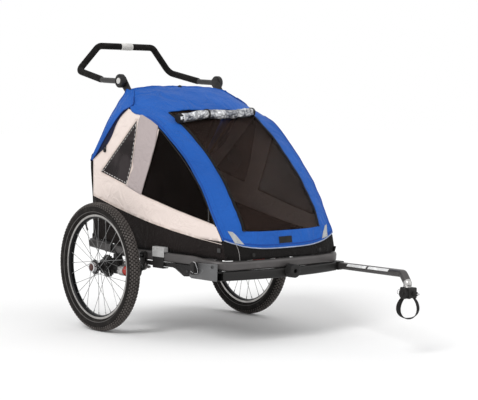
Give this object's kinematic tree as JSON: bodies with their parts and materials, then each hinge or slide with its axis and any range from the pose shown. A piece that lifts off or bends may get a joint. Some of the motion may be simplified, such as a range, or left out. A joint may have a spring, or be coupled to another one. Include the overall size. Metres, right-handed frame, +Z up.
{
  "type": "child bike trailer",
  "caption": "Two-seat child trailer for towing behind a bike, with a folding fabric cabin, sprung spoked wheels, a tilting push bar and a side drawbar.",
  "frame": {"origin": "middle of the trailer's footprint, on the ground", "axes": "+X forwards, towards the bike; +Y to the left; +Z up"},
  "size_m": [1.5846, 0.8276, 1.1335],
  "materials": {
    "frame_grey": "satin grey anodised tube",
    "black_plastic": "moulded black plastic",
    "black_steel": "black coated steel",
    "silver": "bare aluminium",
    "spoke_steel": "bright steel",
    "tyre_rubber": "black tyre rubber",
    "foam": "black foam",
    "red_elastomer": "red elastomer",
    "blue_cloth": "coated woven cloth, blue",
    "cream_cloth": "coated woven cloth, cream",
    "black_cloth": "black woven cloth",
    "mesh_cloth": "fine insect mesh",
    "tinted_film": "smoked soft film",
    "clear_film": "clear soft film",
    "webbing": "woven strap"
  },
  "bodies": {
    "chassis": {"floor_frame": "frame_grey", "rear_cross_tube": "frame_grey", "floor_cross_tube": "frame_grey", "front_beam": "black_plastic", "wheel_socket": "black_plastic", "tub": "black_plastic", "seat_base": "black_cloth", "drawbar": "frame_grey", "hitch_elbow": "silver", "receiver_left": "frame_grey", "receiver_right": "frame_grey", "pivot_bracket_left": "silver", "pivot_bracket_right": "silver", "leaf_spring_left": "black_plastic", "leaf_spring_right": "black_plastic", "side_panel_left": "cream_cloth", "side_panel_right": "cream_cloth", "side_window_left": "tinted_film", "side_window_right": "tinted_film", "rear_panel": "black_cloth"},
    "cage": {"side_bow_left": "frame_grey", "side_bow_right": "frame_grey", "hub_neck_left": "black_plastic", "hub_neck_right": "black_plastic", "roof_cross_tube": "frame_grey", "cover": "blue_cloth", "front_window": "mesh_cloth", "window_roll": "clear_film"},
    "back_frame": {"rear_frame": "frame_grey", "seat_back": "black_cloth", "harness_left": "webbing", "harness_right": "webbing"},
    "handle": {"push_bar": "black_plastic", "grip_left": "foam", "grip_right": "foam"},
    "hitch": {"hitch_body": "black_plastic", "hitch_strap": "webbing"},
    "pedal": {"brake_pedal": "black_plastic"},
    "arm_left": {"swing_arm_left": "black_steel", "arm_bumper_left": "red_elastomer"},
    "wheel_left": {"tyre_left": "tyre_rubber", "rim_left": "silver", "hub_spokes_left": "spoke_steel", "brake_ring_left": "black_steel"},
    "axle_release_left": {"axle_button_left": "black_plastic"},
    "pawl_left": {"brake_pawl_left": "black_steel"},
    "preload_left": {"adjuster_left": "silver"},
    "knob_left": {"lock_knob_left": "black_plastic"},
    "tilt_button_left": {"hub_button_left": "silver"},
    "arm_right": {"swing_arm_right": "black_steel", "arm_bumper_right": "red_elastomer"},
    "wheel_right": {"tyre_right": "tyre_rubber", "rim_right": "silver", "hub_spokes_right": "spoke_steel", "brake_ring_right": "black_steel"},
    "axle_release_right": {"axle_button_right": "black_plastic"},
    "pawl_right": {"brake_pawl_right": "black_steel"},
    "preload_right": {"adjuster_right": "silver"},
    "knob_right": {"lock_knob_right": "black_plastic"},
    "tilt_button_right": {"hub_button_right": "silver"}
  },
  "joints": [
    {"name": "cage_fold", "type": "hinge", "parent": "chassis", "child": "cage", "pos_m": [0.1653, 0, 0.345], "axis": [0, -1, 0], "range_deg": [0, 34], "deforming": ["side_panel_left", "side_panel_right", "side_window_left", "side_window_right", "rear_panel"]},
    {"name": "back_fold", "type": "hinge", "parent": "cage", "child": "back_frame", "pos_m": [-0.4027, 0, 0.894], "axis": [0, -1, 0], "range_deg": [0, 74.8], "deforming": ["seat_back", "harness_left", "harness_right"]},
    {"name": "handle_tilt", "type": "hinge", "parent": "cage", "child": "handle", "pos_m": [-0.4697, 0, 0.97], "axis": [0, 1, 0], "range_deg": [-35, 160]},
    {"name": "hitch_swivel", "type": "hinge", "parent": "chassis", "child": "hitch", "pos_m": [0.7483, 0.0975, 0.23], "axis": [0, 0, 1], "range_deg": [-90, 90]},
    {"name": "pedal_press", "type": "hinge", "parent": "chassis", "child": "pedal", "pos_m": [-0.6107, 0, 0.319], "axis": [0, -1, 0], "range_deg": [0, 25]},
    {"name": "arm_swing_left", "type": "hinge", "parent": "chassis", "child": "arm_left", "pos_m": [-0.2127, 0.3205, 0.268], "axis": [0, 1, 0], "range_deg": [0, 5], "stiffness_Nm_per_rad": 300, "springref_deg": -8.59},
    {"name": "wheel_spin_left", "type": "hinge", "parent": "arm_left", "child": "wheel_left", "pos_m": [-0.4347, 0.375, 0.25], "axis": [0, 1, 0], "continuous": true},
    {"name": "axle_release_press_left", "type": "slide", "parent": "wheel_left", "child": "axle_release_left", "axis": [0, -1, 0], "range_m": [0, 0.003], "stiffness_N_per_m": 300, "springref_m": -0.003},
    {"name": "pawl_slide_left", "type": "slide", "parent": "arm_left", "child": "pawl_left", "axis": [-1, 0, 0], "range_m": [0, 0.005]},
    {"name": "preload_slide_left", "type": "slide", "parent": "chassis", "child": "preload_left", "axis": [1, 0, 0], "range_m": [-0.03, 0.06]},
    {"name": "knob_pull_left", "type": "slide", "parent": "chassis", "child": "knob_left", "axis": [0, 1, 0], "range_m": [0, 0.01], "stiffness_N_per_m": 500, "springref_m": -0.004},
    {"name": "tilt_button_press_left", "type": "slide", "parent": "handle", "child": "tilt_button_left", "axis": [0, -1, 0], "range_m": [0, 0.004], "stiffness_N_per_m": 400, "springref_m": -0.003},
    {"name": "arm_swing_right", "type": "hinge", "parent": "chassis", "child": "arm_right", "pos_m": [-0.2127, -0.3205, 0.268], "axis": [0, 1, 0], "range_deg": [0, 5], "stiffness_Nm_per_rad": 300, "springref_deg": -8.59},
    {"name": "wheel_spin_right", "type": "hinge", "parent": "arm_right", "child": "wheel_right", "pos_m": [-0.4347, -0.375, 0.25], "axis": [0, 1, 0], "continuous": true},
    {"name": "axle_release_press_right", "type": "slide", "parent": "wheel_right", "child": "axle_release_right", "axis": [0, 1, 0], "range_m": [0, 0.003], "stiffness_N_per_m": 300, "springref_m": -0.003},
    {"name": "pawl_slide_right", "type": "slide", "parent": "arm_right", "child": "pawl_right", "axis": [-1, 0, 0], "range_m": [0, 0.005]},
    {"name": "preload_slide_right", "type": "slide", "parent": "chassis", "child": "preload_right", "axis": [1, 0, 0], "range_m": [-0.03, 0.06]},
    {"name": "knob_pull_right", "type": "slide", "parent": "chassis", "child": "knob_right", "axis": [0, -1, 0], "range_m": [0, 0.01], "stiffness_N_per_m": 500, "springref_m": -0.004},
    {"name": "tilt_button_press_right", "type": "slide", "parent": "handle", "child": "tilt_button_right", "axis": [0, 1, 0], "range_m": [0, 0.004], "stiffness_N_per_m": 400, "springref_m": -0.003}
  ],
  "couplings": [
    {"joint": "back_fold", "follows": "cage_fold", "ratio": 2.2},
    {"joint": "pawl_slide_left", "follows": "pedal_press", "m_per_rad": 0.01146},
    {"joint": "pawl_slide_right", "follows": "pedal_press", "m_per_rad": 0.01146}
  ]
}
